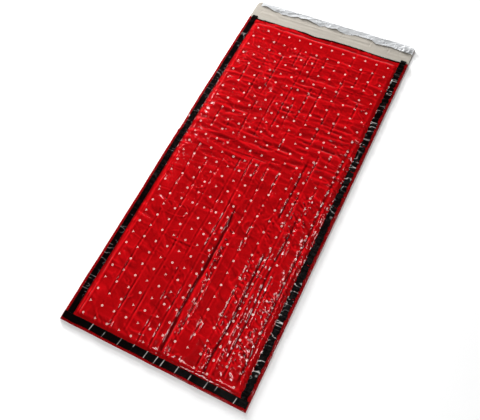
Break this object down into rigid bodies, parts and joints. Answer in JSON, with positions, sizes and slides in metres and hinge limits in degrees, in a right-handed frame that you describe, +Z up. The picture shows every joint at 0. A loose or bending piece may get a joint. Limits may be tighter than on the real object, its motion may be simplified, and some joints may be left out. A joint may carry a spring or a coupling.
{
  "type": "infrared sauna blanket",
  "caption": "Flat red sauna blanket: a heated base and cover that open along one edge, with a cream head flap, folding in half for storage.",
  "frame": {"origin": "on the floor under the middle of the blanket", "axes": "+X to the joined edge, which is the right edge seen from the foot; +Y to the head; +Z up"},
  "size_m": [0.81, 1.8, 0.0161],
  "materials": {
    "red_film": "glossy creased laminated film",
    "red_shell": "coated satin fabric",
    "black_band": "smooth coated tape",
    "closure_tape": "hook-and-loop pile",
    "cream_lining": "matt non-woven cloth",
    "silver_foil": "crumpled metallised film",
    "grey_felt": "needled felt",
    "scrim": "open-weave carrier cloth",
    "silicone": "satin silicone sleeve",
    "black_plastic": "fine moulded texture",
    "brass": "plated brass"
  },
  "bodies": {
    "base_lower": {"base_felt_lower": "grey_felt", "base_heater_carrier_lower": "scrim", "base_heating_wire_lower": "silicone", "base_lining_lower": "cream_lining", "base_loop_tape_foot": "closure_tape", "base_loop_tape_left_lower": "closure_tape", "base_reflector_lower": "silver_foil", "base_shell_lower": "red_shell", "base_temperature_probe_lower": "brass", "base_thermostat_lower": "black_plastic", "hinge_webbing_lower": "closure_tape"},
    "base_upper": {"base_felt_upper": "grey_felt", "base_heater_carrier_upper": "scrim", "base_heating_wire_upper": "silicone", "base_lining_upper": "cream_lining", "base_loop_tape_left_upper": "closure_tape", "base_reflector_upper": "silver_foil", "base_shell_upper": "red_shell", "base_temperature_probe_upper": "brass", "base_thermostat_upper": "black_plastic", "hinge_webbing_upper": "closure_tape", "junction_box": "black_plastic", "junction_box_lid": "black_plastic", "power_inlet_contacts": "brass", "power_inlet_housing": "black_plastic", "supply_lead": "silicone"},
    "cover_lower": {"cover_band_foot": "black_band", "cover_band_left_lower": "black_band", "cover_band_right_lower": "black_band", "cover_felt_lower": "grey_felt", "cover_film_lower": "red_film", "cover_heater_carrier_lower": "scrim", "cover_heating_wire_lower": "silicone", "cover_hook_tape_foot": "closure_tape", "cover_hook_tape_left_lower": "closure_tape", "cover_lining_lower": "cream_lining", "cover_reflector_lower": "silver_foil", "cover_temperature_probe_lower": "brass", "cover_thermostat_lower": "black_plastic"},
    "cover_upper": {"cover_band_left_upper": "black_band", "cover_band_right_upper": "black_band", "cover_felt_upper": "grey_felt", "cover_film_upper": "red_film", "cover_head_binding": "black_band", "cover_heater_carrier_upper": "scrim", "cover_heating_wire_upper": "silicone", "cover_hook_tape_left_upper": "closure_tape", "cover_lining_upper": "cream_lining", "cover_reflector_upper": "silver_foil", "cover_temperature_probe_upper": "brass", "cover_thermostat_upper": "black_plastic"},
    "flap": {"flap_backing": "red_shell", "flap_felt": "grey_felt", "flap_foil_hem": "silver_foil", "flap_lining": "cream_lining"}
  },
  "joints": [
    {"name": "half_fold", "type": "hinge", "parent": "base_lower", "child": "base_upper", "pos_m": [0, 0.056, 0.0196], "axis": [1, 0, 0], "range_deg": [0, 180]},
    {"name": "cover_open", "type": "hinge", "parent": "base_lower", "child": "cover_lower", "pos_m": [0.405, 0, 0.0082], "axis": [0, 1, 0], "range_deg": [0, 180]},
    {"name": "cover_open_upper", "type": "hinge", "parent": "base_upper", "child": "cover_upper", "pos_m": [0.405, 0, 0.0082], "axis": [0, 1, 0], "range_deg": [0, 180]},
    {"name": "flap_fold", "type": "hinge", "parent": "base_upper", "child": "flap", "pos_m": [0, 0.81, 0.01105], "axis": [1, 0, 0], "range_deg": [0, 180]}
  ],
  "couplings": [
    {"joint": "cover_open_upper", "follows": "cover_open", "ratio": 1}
  ]
}
